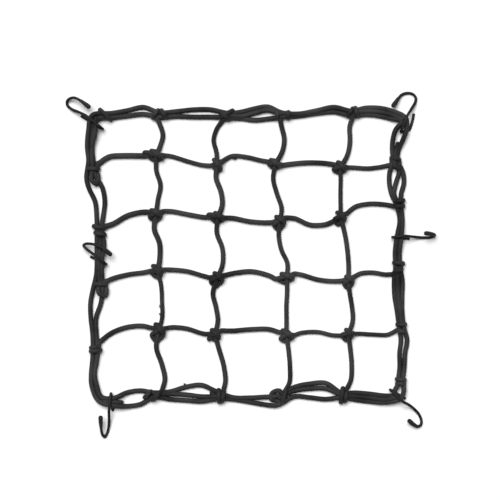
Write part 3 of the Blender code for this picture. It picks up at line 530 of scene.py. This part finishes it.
def loopStops(name):
    # a row cord's turns round a column: over it, back behind it to the bump, slanting down over
    # all, round behind the column again and out from under its own slant
    knot = meshKnots[name]
    upper, right, back, left = knotLoops[name]
    middle = between(upper, right, 0.5)
    comeIn = (knot[0] - knot[3] - cordSizes["rowRun"], knot[6])
    goOut = (knot[0] + knot[4] + cordSizes["rowRun"], knot[7])
    places = (
        (between(middle, comeIn, 0.5), 5.0), (between(middle, right, 0.2), 5.8),
        ((knot[0] + 2.4, between(upper, middle, 0.6)[1]), 3.6), ((knot[0] + 0.6, upper[1] + 0.6), 2.4),
        (between(upper, upper, 0, -0.4, -0.4), 4.2), (upper, 6.8), (between(upper, middle, 0.5), 9.5),
        (middle, 10.6), (between(middle, right, 0.55), 9.5), (right, 6.9),
        (between(right, back, 0.38, 0.9), 4.1), (between(right, back, 0.75, 0.3), 2.7), (back, 2.4),
        (between(back, left, 0.38, -0.8), 2.9), (between(left, left, 0, -0.2), 4.8),
        (between(left, middle, 0.28, 0.0, -0.6), 6.9), (between(left, middle, 0.7), 8.1),
        (between(middle, goOut, 0.12), 8.2), (between(middle, goOut, 0.6), 6.4),
    )
    return [(*spot, level, cordSizes["knot"]) for spot, level in places]


def bandStops(name):
    # a cord's end tied to the rim: over the bundle, back behind it, then its second turn
    knot = rimKnots[name]
    inner, outer, *second = rimBands[name]
    places = [(inner, 4.6), (between(inner, outer, 0.22), 7.4), (between(inner, outer, 0.55), 8.9),
              (between(inner, outer, 0.85), 7.4), (outer, 4.6),
              (between(outer, second[0], 0.3), 2.5), (between(outer, second[0], 0.7), 2.4)]
    if len(second) == 2:
        start, end = second
        places += [(start, 4.5), (between(start, end, 0.2), 7.9), (between(start, end, 0.5), 9.3),
                   (between(start, end, 0.8), 7.9), (end, 4.6),
                   (between(end, knot, 0.4), 2.5), (between(end, knot, 0.8), 2.6)]
    else:
        places += zip(second, (4.8, 4.9, 8.2, 6.4))
        places.append((between(second[3], knot, 0.5), 3.4))
    return [(*spot, level, cordSizes["knot"]) for spot, level in places]


def layStops(places, thick, lift=0.0):
    # a slack stretch at rest on the surface
    flat = smoothPath([(x, y, 0.0, thick) for x, y in places], cordSizes["layStep"])
    return [(p.x, p.y, restHeight(p.x, p.y, thick) + lift, thick) for p in flat]


def spanPlaces(span, across):
    start, end = allKnots[span[0]], allKnots[span[1]]
    places = []
    for part, level in zip((0.25, 0.5, 0.75), span[3:]):
        if across:
            places.append((start[0] + part * (end[0] - start[0]), level))
        else:
            places.append((level, start[1] + part * (end[1] - start[1])))
    return places


def rowStops(spans):
    # one cord from rim to rim, tied round every column on its way
    stops = list(reversed(bandStops(spans[0][0])))
    for span in spans:
        start, end = allKnots[span[0]], allKnots[span[1]]
        first = start[6:8] if span[0] in rimKnots else (start[0] + start[4] + cordSizes["rowRun"], start[7])
        last = end[6:8] if span[1] in rimKnots else (end[0] - end[3] - cordSizes["rowRun"], end[6])
        stops += layStops([first] + spanPlaces(span, True) + [last], span[2])
        stops += bandStops(span[1]) if span[1] in rimKnots else loopStops(span[1])
    return stops


def columnStops(spans):
    stops = list(reversed(bandStops(spans[0][0])))
    for span in spans:
        start, end = allKnots[span[0]], allKnots[span[1]]
        first = start[6:8] if span[0] in rimKnots else (start[0], start[1])
        last = end[6:8] if span[1] in rimKnots else (end[0], end[1])
        lay = layStops([first] + spanPlaces(span, False) + [last], span[2])
        stops += lay if span[1] in rimKnots else lay[:-1]
    return stops + bandStops(spans[-1][1])


def rimPost(name, side):
    if (name, side) in rimPosts:
        return rimPosts[name, side]
    step = (cordSizes["rim"] / 2 - cordSizes["rimPress"]) * (1 if side == "outer" else -1)
    if name in corners:
        x, y, outward = corners[name]
        return x + step * outward[0], y + step * outward[1]
    knot = rimKnots[name]
    turn = math.radians(knot[2])
    return knot[0] + step * math.cos(turn), knot[1] - step * math.sin(turn)


def bayPlaces(start, end, levels):
    (x0, y0), (x1, y1) = [(corners.get(name) or rimKnots[name])[:2] for name in (start, end)]
    crosswise = abs(x1 - x0) > abs(y1 - y0)
    places = []
    for part, level in zip((0.25, 0.5, 0.75), levels):
        places.append((x0 + part * (x1 - x0), level) if crosswise else (level, y0 + part * (y1 - y0)))
    return places


def rimStops(side):
    thick = cordSizes["rim"]
    stops = []
    for start, end, outer, outerLift, inner, innerLift in rimBays:
        levels, lift = (outer, outerLift) if side == "outer" else (inner, innerLift)
        stops.append((*rimPost(start, side), 0.0, thick))
        stops += [(x, y, lift, thick) for x, y in bayPlaces(start, end, levels)]
    flat = smoothPath(stops, cordSizes["layStep"], closed=True)
    return [(p.x, p.y, p.z + restHeight(p.x, p.y, thick), thick) for p in flat]


def thirdCordStops(start, end, levels, lift):
    thick = cordSizes["rim"]
    posts = [(corners.get(name) or rimKnots[name])[:2] for name in (start, end)]
    stops = [(*posts[0], cordSizes["postLift"], thick)]
    stops += [(x, y, lift, thick) for x, y in bayPlaces(start, end, levels)]
    flat = smoothPath(stops + [(*posts[1], cordSizes["postLift"], thick)], cordSizes["layStep"])
    return [(p.x, p.y, p.z + restHeight(p.x, p.y, thick), thick) for p in flat]


def tailStops(start, end, lift):
    # a cut end at rest, or where it is lifted a wrap over the bundle with both ends tucked in
    thick = cordSizes["knot"]
    stops = []
    for part in (0.0, 0.25, 0.5, 0.75, 1.0):
        x, y = between(start, end, part)
        level = lift + restHeight(x, y, thick)
        if lift >= cordSizes["wrapLift"]:
            level = thick / 2 + (level - thick / 2) * math.sin(math.pi * part) ** cordSizes["wrapFullness"]
        stops.append((x, y, level, thick))
    return stops


def makeNet(sizes):
    def cordPiece(name, stops, closed=False):
        return strand(name, smoothPath(stops, sizes["step"], closed), sizes["sides"],
                      cordMaterial, closed)

    for number in range(4):
        cordPiece(f"rowCord{number + 1}", rowStops(rowSpans[number * 5:number * 5 + 5]))
        cordPiece(f"columnCord{number + 1}",
                                columnStops(columnSpans[number * 5:number * 5 + 5]))
    for side in ("outer", "inner"):
        cordPiece(side + "RimCord", rimStops(side), closed=True)
    for start, end, levels, lift in thirdCords:
        cordPiece(f"thirdCord{start}", thirdCordStops(start, end, levels, lift))
    cordPiece("bindingKnot", bandStops("R5"))
    for number, tail in enumerate(cutEnds):
        points = smoothPath(tailStops(*tail), sizes["step"])
        strand(f"cutEnd{number + 1}", roundEnd(points, sizes["knot"]), sizes["sides"],
                             cordMaterial)
    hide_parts("net")


makeNet(cordSizes)


# hooks
def hookRoute(shape, sizes):
    under, eye, shank, bends = shape
    low = sizes["wire"] / 2
    radius = (sizes["top"] - low) / 2
    middle = Vector(eye)
    inward = (Vector(under[-1]) - middle).normalized()
    outward = (Vector(shank) - middle).normalized()
    stops = [(*spot, low, sizes["wire"]) for spot in under]
    for degrees in (-90, -60, -30, 0, 30, 60, 90):
        angle = math.radians(degrees)
        spot = middle + (inward if degrees < 0 else outward) * radius * (1 - math.cos(angle))
        stops.append((spot.x, spot.y, low + radius * (1 + math.sin(angle)), sizes["wire"]))
    stops.append((*shank, sizes["top"], sizes["wire"]))
    stops += [(*bend, sizes["wire"]) for bend in bends]
    return smoothPath(stops, sizes["step"])


def makeHook(name, shape, sizes):
    route = hookRoute(shape, sizes)
    run = 0.0
    cut = len(route) - 1
    while run < sizes["tipLength"]:
        run += (route[cut] - route[cut - 1]).xyz.length
        cut -= 1
    # the wire runs on for a few points inside its tip
    wirePoints = [p.copy() for p in route[:cut + sizes["covered"]]]
    wirePoints[0].w = sizes["wire"] * sizes["cutEnd"]
    wire = strand("hookWire_" + name, wirePoints, sizes["sides"], wireMaterial)
    tipPoints = [p.copy() for p in route[cut:]]
    away = 0.0
    for number, point in enumerate(tipPoints):
        if number:
            away += (tipPoints[number] - tipPoints[number - 1]).xyz.length
        # a dipped coat swells from the wire and is fullest near its end
        swell = min(1.0, away / sizes["swell"])
        swell = sizes["tipStart"] + (1 - sizes["tipStart"]) * swell
        point.w = sizes["wire"] + (sizes["tip"] - sizes["wire"]) * swell
    tip = strand("hookTip_" + name, roundEnd(tipPoints, tipPoints[-1].w), sizes["sides"],
                 tipMaterial)
    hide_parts("hook_wire_" + name)
    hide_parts("hook_tip_" + name)


for hookName, hookShape in hookShapes.items():
    makeHook(hookName, hookShape, hookSizes)
print("hooks made")

# loose fibres that stand off the cords
fuzzSizes = {"thick": 0.26, "seed": 5, "reach": (0.7, 1.4), "spread": 0.7,
             "bends": 6, "curl": (0.3, 0.7), "rise": 0.4, "sides": 5, "joinOver": 1.1,
             "clumps": ((233.4, 158.3, 3.4, 34), (235.6, 158.6, 3.2, 30), (160.2, 306.3, 2.6, 30),
                        (160.4, 314.4, 2.6, 34), (184.9, 384.6, 3.4, 26))}


def makeFuzz(sizes):
    chance = random.Random(sizes["seed"])
    points = []
    shape = bmesh.new()
    for x, y, z, count in sizes["clumps"]:
        for _ in range(count):
            turn = chance.uniform(0, 2 * math.pi)
            spread = sizes["spread"]
            middle = Vector((x + chance.uniform(-spread, spread), y + chance.uniform(-spread, spread),
                             z + chance.uniform(-spread, spread)))
            reach = chance.uniform(*sizes["reach"])
            for part in range(sizes["bends"]):
                angle = turn + part * chance.uniform(*sizes["curl"])
                step = Vector((math.cos(angle), math.sin(angle),
                               chance.uniform(-sizes["rise"], sizes["rise"])))
                following = middle + step * reach / sizes["bends"]
                points.append((middle, following))
                middle = following
    for start, end in points:
        first, second = toWorld(start), toWorld(end)
        made = bmesh.ops.create_cone(shape, segments=sizes["sides"], radius1=sizes["thick"] * mm / 2,
                                     radius2=sizes["thick"] * mm / 2,
                                     depth=(second - first).length * sizes["joinOver"])
        turn = (second - first).to_track_quat("Z", "Y").to_matrix().to_4x4()
        bmesh.ops.transform(shape, matrix=turn, verts=made["verts"])
        bmesh.ops.translate(shape, vec=(first + second) / 2, verts=made["verts"])
    mesh = bpy.data.meshes.new("looseFibres")
    shape.to_mesh(mesh)
    shape.free()
    mesh.uv_layers.new(name="UVMap")
    mesh.materials.append(cordMaterial)
    piece = bpy.data.objects.new("looseFibres", mesh)
    bpy.context.scene.collection.objects.link(piece)
    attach(piece, "root")


makeFuzz(fuzzSizes)

# surface, light and camera
stageLook = {"floorColour": (0.90, 0.90, 0.90), "floorSize": 60.0, "sky": 0.06,
             "keyStrength": 3.8, "keyFrom": (-0.16, 0.36, 1.0), "keySoftness": 40.0,
             "patchSize": 3.0, "speckSize": 60.0, "patchTone": 0.985,
             "roughness": 0.9, "specular": 0.1}


def makeStage(look):
    shape = bmesh.new()
    bmesh.ops.create_grid(shape, x_segments=4, y_segments=4, size=look["floorSize"] / 2)
    mesh = bpy.data.meshes.new("floor")
    shape.to_mesh(mesh)
    shape.free()
    floor = bpy.data.objects.new("floor", mesh)
    bpy.context.scene.collection.objects.link(floor)
    material, tree, shader = newMaterial("paleFloor")
    wear = placeGroup(tree, patchesAndSpecks, Patch_Size=look["patchSize"], Speck_Size=look["speckSize"])
    colour = ramp(tree, wear.outputs["Patch"],
                  (0.0, [c * look["patchTone"] for c in look["floorColour"]]),
                  (1.0, look["floorColour"]))
    tree.links.new(colour, shader.inputs["Base Color"])
    shader.inputs["Roughness"].default_value = look["roughness"]
    shader.inputs["Specular IOR Level"].default_value = look["specular"]
    mesh.materials.append(material)

    world = bpy.data.worlds.new("paleRoom")
    bpy.context.scene.world = world
    world.use_nodes = True
    background = world.node_tree.nodes["Background"]
    background.inputs["Color"].default_value = (1.0, 1.0, 1.0, 1.0)
    background.inputs["Strength"].default_value = look["sky"]

    lamp = bpy.data.lights.new("softPanel", "SUN")
    lamp.energy = look["keyStrength"]
    lamp.angle = math.radians(look["keySoftness"])
    panel = bpy.data.objects.new("softPanel", lamp)
    panel.location = look["keyFrom"]
    panel.rotation_euler = (-Vector(look["keyFrom"])).to_track_quat("-Z", "Y").to_euler()
    bpy.context.scene.collection.objects.link(panel)


makeStage(stageLook)
bpy.context.scene.view_settings.view_transform = "Standard"

# metres, but millimetres for the place on the plan and the sensor; level is the height at which
# the frame has its width
cameraSetup = {"planPlace": (250.2, 250.2), "height": 2.6, "frameWidth": 0.5, "level": 0.004,
               "sensor": 36.0}


def makeCamera(setup):
    lens = bpy.data.cameras.new("overhead")
    lens.sensor_width = setup["sensor"]
    lens.lens = setup["sensor"] * (setup["height"] - setup["level"]) / setup["frameWidth"]
    camera = bpy.data.objects.new("overhead", lens)
    spot = toWorld((*setup["planPlace"], 0.0))
    camera.location = (spot.x, spot.y, setup["height"])
    bpy.context.scene.collection.objects.link(camera)
    bpy.context.scene.camera = camera


makeCamera(cameraSetup)
print("stage and camera set")
